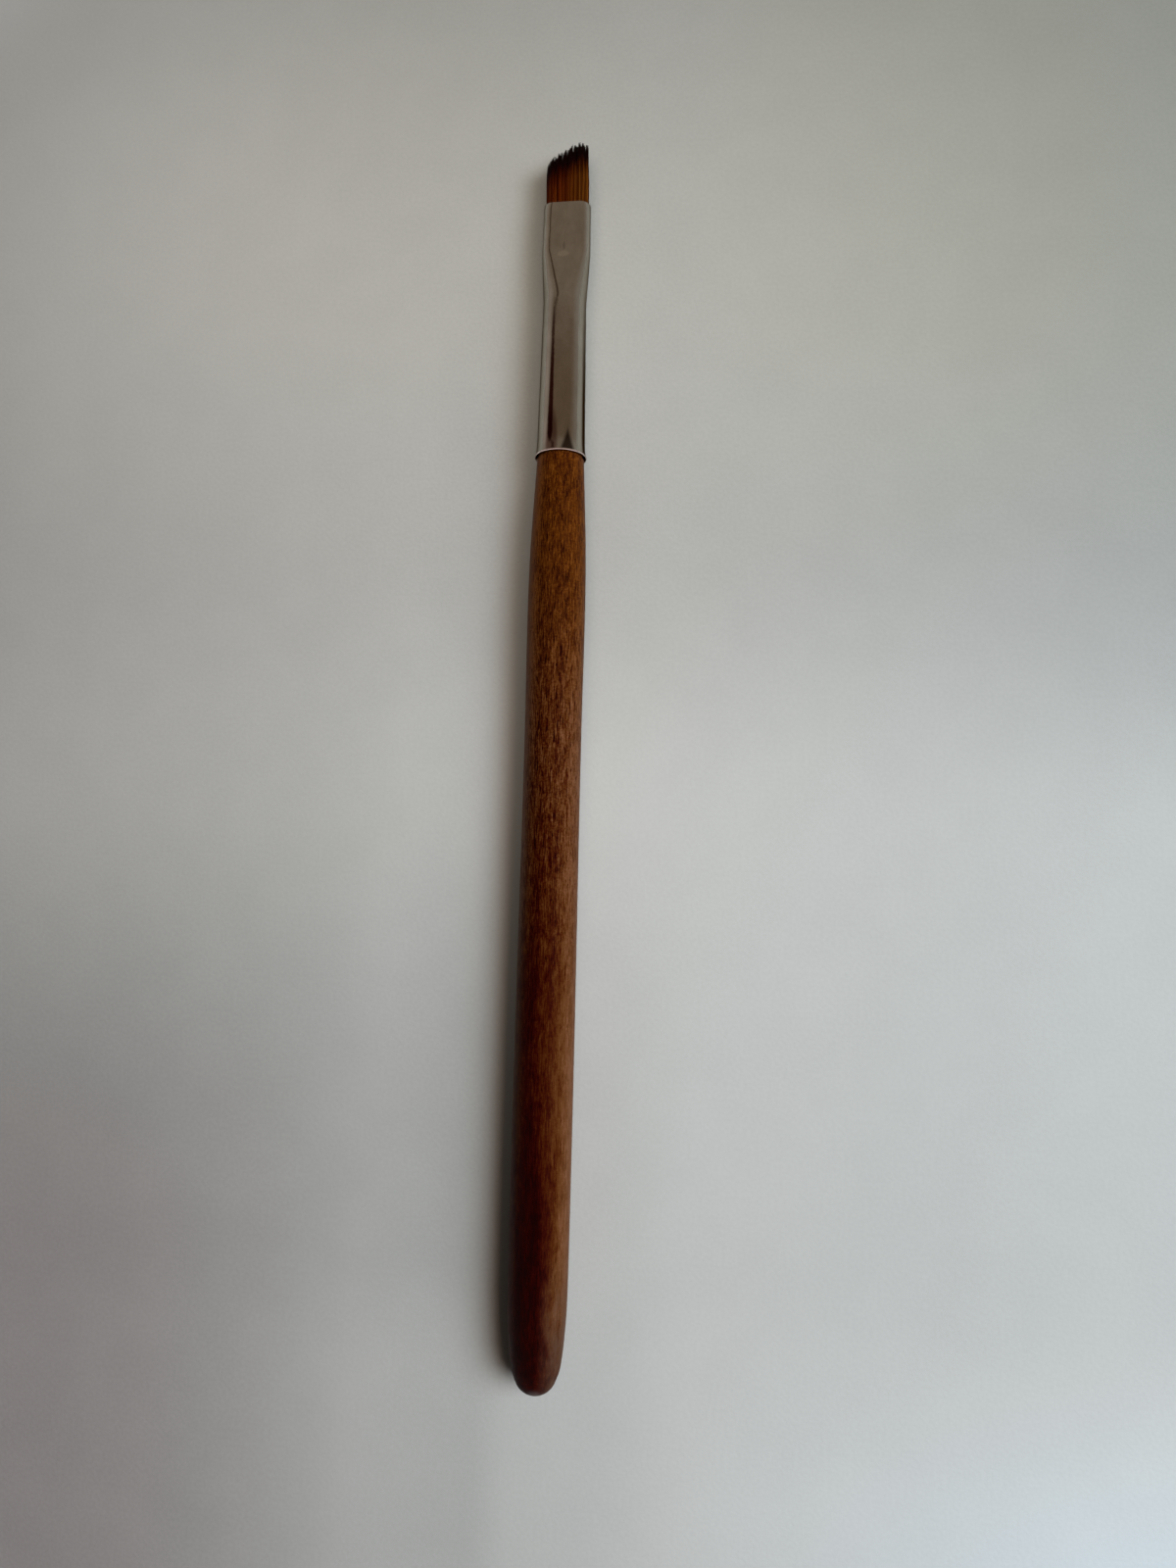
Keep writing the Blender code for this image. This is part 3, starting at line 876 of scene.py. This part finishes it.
def skin(name, rows, material, closed=False):
    """A smooth piece skinned over rows of points; a row of one point is a pole."""
    points = []
    starts = []
    for row in rows:
        starts.append(len(points))
        points.extend(row)
    pairs = list(zip(range(len(rows)), range(1, len(rows))))
    if closed:
        pairs.append((len(rows) - 1, 0))
    faces = []
    for low, high in pairs:
        for side in range(max(len(rows[low]), len(rows[high]))):
            corners = []
            for row, turn in ((low, side), (low, side + 1), (high, side + 1), (high, side)):
                corners.append(starts[row] + turn % len(rows[row]))
            # At a pole two of the corners are one
            faces.append(list(dict.fromkeys(corners)))
    piece = add_piece(name, points, faces, material)
    piece.data.shade_smooth()
    piece.data.set_sharp_from_angle(angle=SHARP_ANGLE)
    return piece


def knot_slopes(knots, first_slope):
    """A slope for each knot (station, radius), so that a curve never swells past the knots."""
    slopes = [first_slope]
    for before, knot, after in zip(knots, knots[1:], knots[2:]):
        rise_in = (knot[1] - before[1]) / (knot[0] - before[0])
        rise_out = (after[1] - knot[1]) / (after[0] - knot[0])
        if rise_in * rise_out <= 0:
            slopes.append(0.0)
        else:
            slopes.append(2 * rise_in * rise_out / (rise_in + rise_out))
    last, end = knots[-2:]
    slopes.append((end[1] - last[1]) / (end[0] - last[0]))
    return slopes


def smooth_outline(knots, first_slope):
    """Points (station, radius) on a smooth curve through the knots."""
    slopes = knot_slopes(knots, first_slope)
    points = [knots[0]]
    for index, (start, stop) in enumerate(zip(knots, knots[1:])):
        run = stop[0] - start[0]
        for step in range(1, SPAN_STEPS + 1):
            way = step / SPAN_STEPS
            lift = 3 * way**2 - 2 * way**3
            leave = run * slopes[index] * way * (1 - way) ** 2
            arrive = run * slopes[index + 1] * way**2 * (1 - way)
            points.append((start[0] + run * way, mix(start[1], stop[1], lift) + leave - arrive))
    return points


def handle_outline():
    """Points (station, radius) from the tip of the nose to the end of the tenon."""
    outline = [(NOSE_RADIUS * back, NOSE_RADIUS * side) for back, side in arc(NOSE_TURN, NOSE_STEPS)]
    knots = [outline[-1]]
    for length_share, radius_share in BUTT_KNOTS + BODY_KNOTS:
        knots.append((HANDLE_LENGTH * length_share, BODY_RADIUS * radius_share))
    knots.append((HANDLE_LENGTH - SHOULDER_ROUND, SEAT_RADIUS))
    outline += smooth_outline(knots, 1 / math.tan(NOSE_TURN))[1:]
    for back, side in arc(math.pi / 2, SHOULDER_STEPS)[1:]:
        outline.append((HANDLE_LENGTH - SHOULDER_ROUND * (1 - side), SEAT_RADIUS - SHOULDER_ROUND * back))

    neck_stop = HANDLE_LENGTH + NECK_LENGTH
    tapered_radius = TENON_RADIUS - TENON_TAPER
    outline += [
        (HANDLE_LENGTH, NECK_RADIUS),
        (neck_stop, NECK_RADIUS),
        (neck_stop, TENON_RADIUS),
        (TENON_END - TENON_CHAMFER, tapered_radius),
        (TENON_END, tapered_radius - TENON_CHAMFER),
        (TENON_END, 0.0),
    ]
    return outline


def turned_row(station, radius):
    """A ring about the axis, or one point on the axis."""
    sides = HANDLE_SIDES if radius > 0.0 else 1
    return round_ring((0.0, station, 0.0), radius, sides)


def make_handle(material):
    """The turned handle, with its round nose, its slim neck and the tenon inside the ferrule."""
    rows = [turned_row(station, radius) for station, radius in handle_outline()]
    return skin("turned_handle", rows, material)


def ferrule_size(past_rim):
    """Half width, half thickness and flatness of the ferrule's outside, with sharp bends."""
    if past_rim <= PRESS_START:
        radius = mix(BARREL_RADIUS, WAIST_RADIUS, past_rim / PRESS_START)
        radius += FLARE * max(1 - past_rim / FLARE_LENGTH, 0.0) ** 2
        return radius, radius, 0.0
    if past_rim <= CREASE_START:
        way = (past_rim - PRESS_START) / PRESS_LENGTH
        width = mix(WAIST_RADIUS, CREASE_HALF_WIDTH, way)
        return width, mix(WAIST_RADIUS, FLAT_HALF_THICKNESS, way), way
    way = min((past_rim - CREASE_START) / FLAT_LENGTH, 1.0)
    return mix(CREASE_HALF_WIDTH, MOUTH_HALF_WIDTH, way), FLAT_HALF_THICKNESS, 1.0


def soft_ferrule_size(past_rim):
    """The ferrule's size with its bends eased, as pressed metal bends."""
    reach = min(BEND_SOFTNESS, past_rim, FERRULE_LENGTH - past_rim)
    samples = []
    for step in range(-BEND_SAMPLES, BEND_SAMPLES + 1):
        samples.append(ferrule_size(past_rim + reach * step / BEND_SAMPLES))
    return tuple(sum(values) / len(samples) for values in zip(*samples))


def section(half_width, half_thickness, flatness, station):
    """A ring with level sides and round ends, which is a circle where both sizes agree."""
    round_step = math.pi / 2 / QUARTER_POINTS
    flat_step = math.pi / 2 / (QUARTER_POINTS - 0.5)
    step = mix(round_step, flat_step, flatness)
    core = half_width - half_thickness
    quarter = []
    for index in range(QUARTER_POINTS):
        turn = (index + 0.5) * step
        quarter.append((core + half_thickness * math.cos(turn), half_thickness * math.sin(turn)))
    upper = quarter + [(-across, up) for across, up in reversed(quarter)]
    lower = [(across, -up) for across, up in reversed(upper)]
    return [placed(across, station, up) for across, up in reversed(upper + lower)]


def outside_places():
    """How far past the rim the rings of the outside lie, closer together round the bends."""
    places = list(FLARE_PLACES)
    for step in range(1, BARREL_STEPS + 1):
        places.append(mix(FLARE_LENGTH, PRESS_START - BEND_SOFTNESS, step / BARREL_STEPS))
    stretch_stops = (CREASE_START - BEND_SOFTNESS, FERRULE_LENGTH - LIP_CURL)
    for bend, stop in zip((PRESS_START, CREASE_START), stretch_stops):
        for step in range(1 - BEND_STEPS, BEND_STEPS + 1):
            places.append(bend + BEND_SOFTNESS * step / BEND_STEPS)
        for step in range(1, STRAIGHT_STEPS + 1):
            places.append(mix(bend + BEND_SOFTNESS, stop, step / STRAIGHT_STEPS))
    return places


def inside_places():
    """How far past the rim the rings of the inside lie, from the mouth back to the rim."""
    places = [FERRULE_LENGTH - LIP_CURL - LIP_DEPTH]
    for start, stop, shares in INSIDE_STRETCHES:
        places += [mix(start, stop, share) for share in shares]
    return places


def ferrule_rings():
    """Where each ring lies past the rim, and how far it is pushed out of the tube's outside."""
    rings = []
    for back, side in arc(math.pi, BEAD_STEPS):
        rings.append((BEAD_RADIUS * back - BEAD_OVERHANG, BEAD_RISE * side))
    rings += [(past_rim, 0.0) for past_rim in outside_places()]
    for back, side in arc(math.pi, LIP_STEPS)[1:]:
        rings.append((FERRULE_LENGTH - LIP_CURL * (1 - side), -WALL / 2 * back))
    rings += [(past_rim, -WALL) for past_rim in inside_places()]
    return rings


def make_ferrule(material):
    """The drawn tube: a rolled rim, a round barrel, and a mouth pressed flat."""
    rows = []
    for past_rim, push in ferrule_rings():
        half_width, half_thickness, flatness = soft_ferrule_size(past_rim)
        station = RIM_STATION + past_rim
        rows.append(section(half_width + push, half_thickness + push, flatness, station))
    return skin("drawn_ferrule", rows, material, closed=True)


def cut_length(across_share):
    """How far the hairs reach out of the mouth, from the short side (-1) to the long side (1)."""
    return TUFT_LENGTH * read_table(CUT_SHARES, (across_share + 1) / 2)


def tuft_size(out):
    """Half width and half thickness of the tuft at a distance out of the mouth."""
    width, thickness, _ = ferrule_size(FERRULE_LENGTH)
    width -= WALL + HAIR_CLEARANCE + HAIR_RADIUS
    thickness -= WALL + HAIR_CLEARANCE + HAIR_RADIUS
    share = max(out, 0.0) / TUFT_LENGTH
    swell = TUFT_SWELL * math.sin(math.pi * min(share * SWELL_PACE, 1.0))
    width *= 1 - TIP_NARROWING * share
    thickness *= mix(1.0, TIP_THICKNESS_SHARE, share**1.4)
    return width + swell, thickness + swell


def hair_roots(chance):
    """Places in the mouth's oval, packed as round hairs pack, each a little out of line."""
    width, thickness = tuft_size(0.0)
    core = width - thickness
    row_pitch = HAIR_PITCH * math.sqrt(3) / 2
    row_reach = int(thickness / row_pitch)
    roots = []
    for row in range(-row_reach, row_reach + 1):
        up = row * row_pitch
        reach = core + math.sqrt(max(thickness**2 - up**2, 0.0))
        shift = HAIR_PITCH / 2 * (row % 2)
        column_reach = int(reach / HAIR_PITCH) + 1
        for column in range(-column_reach, column_reach + 1):
            across = column * HAIR_PITCH + shift
            if abs(across) <= reach:
                aside = chance.uniform(-HAIR_NUDGE, HAIR_NUDGE)
                lift = chance.uniform(-HAIR_NUDGE, HAIR_NUDGE)
                roots.append(((across + aside) / width, (up + lift) / thickness))
    return roots


def make_clumps(chance):
    """Where hairs gather, each clump with a shade and a shortness of its own."""
    clumps = []
    for _ in range(CLUMP_COUNT):
        place = chance.uniform(-1, 1), chance.uniform(-1, 1)
        clumps.append(Clump(*place, chance.random(), chance.random()))
    return clumps


def nearest_clump(root, clumps):
    """The clump that a hair leans to; a distance up counts for less than one across."""
    width, thickness = tuft_size(0.0)

    def distance(clump):
        aside = (clump.across - root[0]) * width
        rise = CLUMP_FLATNESS * (clump.up - root[1]) * thickness
        return aside**2 + rise**2

    return min(clumps, key=distance)


def hair_radius(way):
    """Full for most of the hair, then drawn to a fine tip."""
    taper = max((way - HAIR_TAPER_START) / (1 - HAIR_TAPER_START), 0.0)
    return mix(HAIR_RADIUS, HAIR_TIP_RADIUS, taper**1.3)


def hair_path(root, clump, chance):
    """Centre points (across, out, up) of one hair, from inside the mouth to its tip."""
    length = cut_length(root[0])
    length -= TIP_SCATTER * chance.random() ** 2
    length -= CLUMP_SCATTER * clump.shortness**1.5
    stray_across = chance.gauss(0.0, HAIR_STRAY)
    stray_up = chance.gauss(0.0, HAIR_STRAY)
    wave = chance.uniform(0, 2 * math.pi)
    path = []
    for step in range(HAIR_STEPS + 1):
        out = mix(-HAIR_SINK, length, step / HAIR_STEPS)
        free = max(out, 0.0) / TUFT_LENGTH
        pull = CLUMP_PULL * free**3
        across_share = mix(root[0], clump.across, pull * (1 - root[0] ** 4))
        up_share = mix(root[1], clump.up, pull)
        width, thickness = tuft_size(out)
        sway = HAIR_SWAY * math.sin(wave + SWAY_TURN * free) * min(free * SWAY_GROWTH, 1.0)
        across = across_share * width + (stray_across + TIP_LEAN) * free + sway
        up = up_share * thickness + stray_up * free
        path.append((across, out, up))
    return path, length


def block_rings():
    """The block of set hair behind the mouth, from the glue to where the loose hairs start."""
    inset = WALL + HAIR_CLEARANCE
    rings = []
    for depth in BLOCK_DEPTHS:
        half_width, half_thickness, flatness = soft_ferrule_size(FERRULE_LENGTH - depth)
        station = MOUTH_STATION - depth
        rings.append(section(half_width - inset, half_thickness - inset, flatness, station))
    return rings


class RodMesh:
    """The mesh of the tuft, made of closed rods that each have a cell of its flat map."""

    def __init__(self, rod_count):
        self.cells = math.ceil(math.sqrt(rod_count))
        self.rods = 0
        self.points = []
        self.marks = []
        self.faces = []
        self.map_places = []

    def map_place(self, side_share, way):
        """A place in the newest rod's cell, which keeps a margin all round."""
        inside = 1 - 2 * CELL_MARGIN
        left = (self.rods % self.cells + CELL_MARGIN + inside * side_share) / self.cells
        low = (self.rods // self.cells + CELL_MARGIN + inside * way) / self.cells
        return left, low

    def add_cap(self, corners, way):
        """The face at one end of a rod, mapped as a small round in the margin of its cell."""
        self.faces.append(list(corners))
        for corner in range(len(corners)):
            turn = 2 * math.pi * corner / len(corners)
            place = self.map_place(0.5 + CAP_RADIUS * math.cos(turn), way + CAP_RADIUS * math.sin(turn))
            self.map_places.append(place)

    def add_rod(self, rings, marks):
        """A rod through its rings, whose points carry one mark for each ring."""
        first = len(self.points)
        sides = len(rings[0])
        steps = len(rings) - 1
        for ring, mark in zip(rings, marks):
            self.points.extend(ring)
            self.marks.extend([mark] * sides)
        for step in range(steps):
            for side in range(sides):
                corners = ((side, step), (side + 1, step), (side + 1, step + 1), (side, step + 1))
                self.faces.append([first + level * sides + turn % sides for turn, level in corners])
                self.map_places += [self.map_place(turn / sides, level / steps) for turn, level in corners]
        last = first + steps * sides
        self.add_cap(range(first, first + sides)[::-1], -CAP_DISTANCE)
        self.add_cap(range(last, last + sides), 1 + CAP_DISTANCE)
        self.rods += 1

    def build(self, name, material):
        """The finished piece, with the marks as its colours."""
        piece = add_piece(name, self.points, self.faces, material)
        piece.data.shade_smooth()
        colours = piece.data.color_attributes.new("hair", "FLOAT_COLOR", "POINT")
        colours.data.foreach_set("color", [value for mark in self.marks for value in mark])
        flat_map = piece.data.uv_layers.new(name="OFBake")
        flat_map.data.foreach_set("uv", [value for place in self.map_places for value in place])
        return piece


def add_hair(rods, root, clumps, chance):
    """One tapered hair, which leans to its clump and has a shade of its own."""
    clump = nearest_clump(root, clumps)
    path, length = hair_path(root, clump, chance)
    shade = chance.random()
    twist = chance.uniform(0, math.pi / 2)
    rings = []
    marks = []
    for step, (across, out, up) in enumerate(path):
        radius = hair_radius(step / HAIR_STEPS)
        rings.append(round_ring((across, MOUTH_STATION + out, up), radius, HAIR_SIDES, twist))
        marks.append((min((length - out) / DYE_REACH, 1.0), shade, clump.shade, 1.0))
    rods.add_rod(rings, marks)


def make_tuft(material):
    """The slanted tuft: fine tapered hairs in loose clumps, on the block that the glue holds."""
    chance = random.Random(HAIR_SEED)
    roots = hair_roots(chance)
    clumps = make_clumps(chance)
    rods = RodMesh(len(roots) + 1)
    for root in roots:
        add_hair(rods, root, clumps, chance)
    rods.add_rod(block_rings(), [BLOCK_MARK] * len(BLOCK_DEPTHS))
    return rods.build("hair_tuft", material)


def make_floor(material):
    half = FLOOR_SIDE / 2 * MM
    corners = [(-half, -half, 0.0), (half, -half, 0.0), (half, half, 0.0), (-half, half, 0.0)]
    return add_piece("paper_floor", corners, [(0, 1, 2, 3)], material)


def hang_lamp(name, size, spread, power, place, target):
    """A round lamp that faces its target; only matt surfaces show its light."""
    lamp = bpy.data.lights.new(name, "AREA")
    lamp.shape = "DISK"
    lamp.size = size * MM
    lamp.spread = spread
    lamp.energy = power
    hung = add_object(name, lamp)
    hung.location = place * MM
    hung.rotation_euler = (place - target).to_track_quat("Z", "Y").to_euler()
    hung.visible_camera = False
    hung.visible_glossy = False
    return lamp


def make_window():
    """The main light, a soft lamp that stands for a window."""
    level = math.cos(WINDOW_ELEVATION)
    direction = Vector((
        level * math.cos(WINDOW_AZIMUTH),
        level * math.sin(WINDOW_AZIMUTH),
        math.sin(WINDOW_ELEVATION),
    ))
    target = Vector(WINDOW_TARGET)
    place = target + direction * WINDOW_DISTANCE
    lamp = hang_lamp("window", WINDOW_SIZE, WINDOW_SPREAD, WINDOW_POWER, place, target)
    lamp.use_nodes = True
    shader = Shader(lamp.node_tree)
    _, height, _ = shader.parts(shader.add("ShaderNodeNewGeometry").outputs["Parametric"])
    shader.feed(shader.nodes["Emission"].inputs["Color"], shader.colours(height, WINDOW_COLOURS))


def make_fill():
    """A weak lamp overhead that softens the shadow beside the ferrule and the tuft."""
    place = Vector(FILL_PLACE)
    target = Vector((place.x, place.y, 0.0))
    lamp = hang_lamp("fill", FILL_SIZE, FILL_SPREAD, FILL_POWER, place, target)
    lamp.color = FILL_COLOUR


def room_glow(shader, ahead, round_angle):
    """A dim room, warm and dark overhead and paler round the sides."""
    split = shader.ramp(ahead, *ROOM_SPLIT)
    ceiling = shader.mix(split, *CEILING_COLOURS)
    left_wall = shader.mix(split, *LEFT_WALL_COLOURS)
    right_wall = shader.mix(split, *RIGHT_WALL_COLOURS)
    glow = shader.mix(shader.ramp(round_angle, *LEFT_WALL_ROUND), ceiling, left_wall)
    glow = shader.mix(shader.ramp(round_angle, *RIGHT_WALL_ROUND), glow, right_wall)
    glow = shader.mix(shader.ramp(ahead, *SHADE_AHEAD), glow, SHADE_COLOUR)
    return shader.mix(shader.ramp(ahead, *BEHIND_AHEAD), glow, BEHIND_COLOUR)


def add_person(shader, direction, glow):
    """The glow with the dark figure in it."""
    toward = shader.vector_math("DOT_PRODUCT", direction, PERSON_DIRECTION).outputs["Value"]
    return shader.mix(shader.ramp(toward, *PERSON_EDGE), glow, PERSON_COLOUR)


def add_streak(shader, ahead, round_angle, glow):
    """The glow with the dark streak in it."""
    middle = shader.scaled(shader.ramp(ahead, *STREAK_CLIMB_AHEAD), STREAK_CLIMB, STREAK_ROUND)
    half_width = shader.ramp(ahead, *STREAK_WIDTH_AHEAD, *STREAK_HALF_WIDTHS, kind="LINEAR")
    past_edge = shader.math("SUBTRACT", shader.away(round_angle, middle), half_width)
    streak = shader.product(shader.ramp(past_edge, *STREAK_EDGE), shader.ramp(ahead, *STREAK_START_AHEAD))
    colour = shader.mix(shader.ramp(ahead, *STREAK_COLOUR_AHEAD), *STREAK_COLOURS)
    return shader.mix(streak, glow, colour)


def make_world():
    """The room that is seen in the metal; matt surfaces get next to nothing from it."""
    world = bpy.data.worlds.new("room")
    bpy.context.scene.world = world
    world.use_nodes = True
    shader = Shader(world.node_tree)
    direction = shader.add("ShaderNodeTexCoord").outputs["Generated"]
    right, ahead, up = shader.parts(direction)
    left = shader.product(right, -1.0)
    round_angle = shader.math("DEGREES", shader.math("ARCTAN2", up, left))
    glow = room_glow(shader, ahead, round_angle)
    glow = add_person(shader, direction, glow)
    glow = add_streak(shader, ahead, round_angle, glow)
    rays = shader.add("ShaderNodeLightPath").outputs
    glow = shader.mix(rays["Is Glossy Ray"], AMBIENT, glow)
    glow = shader.mix(rays["Is Camera Ray"], glow, BACKDROP)
    shader.feed(shader.nodes["Background"].inputs["Color"], glow)


def make_camera():
    data = bpy.data.cameras.new("camera")
    data.sensor_width = SENSOR_SIZE
    data.lens = SENSOR_SIZE * FOCAL_PIXELS / PICTURE_HEIGHT
    data.clip_start = CLIP_START * MM
    camera = add_object("camera", data)
    turned = Matrix.Identity(4)
    for angle, axis in CAMERA_TURNS:
        turned = turned @ Matrix.Rotation(math.radians(angle), 4, axis)
    camera.matrix_world = Matrix.Translation(Vector(CAMERA_PLACE) * MM) @ turned
    bpy.context.scene.camera = camera


def dress_glue(material):
    """The plug keeps its CAD mesh and only changes its material."""
    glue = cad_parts["glue_plug"]
    glue.data.materials.clear()
    glue.data.materials.append(material)


def dress_frame():
    """The new pieces, each riding on the brush's one body in place of its CAD node."""
    pieces = (
        (make_handle(wood_material()), "handle", "wood"),
        (make_ferrule(nickel_material()), "ferrule", "nickel"),
        (make_tuft(bristle_material()), "bristle_tuft", "bristle"),
    )
    for piece, node, slot in pieces:
        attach(piece, "root")
        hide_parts(node)
    dress_glue(glue_material())


make_camera()
make_floor(floor_material())
make_window()
make_fill()
make_world()
dress_frame()
bpy.context.scene.view_settings.view_transform = "Standard"
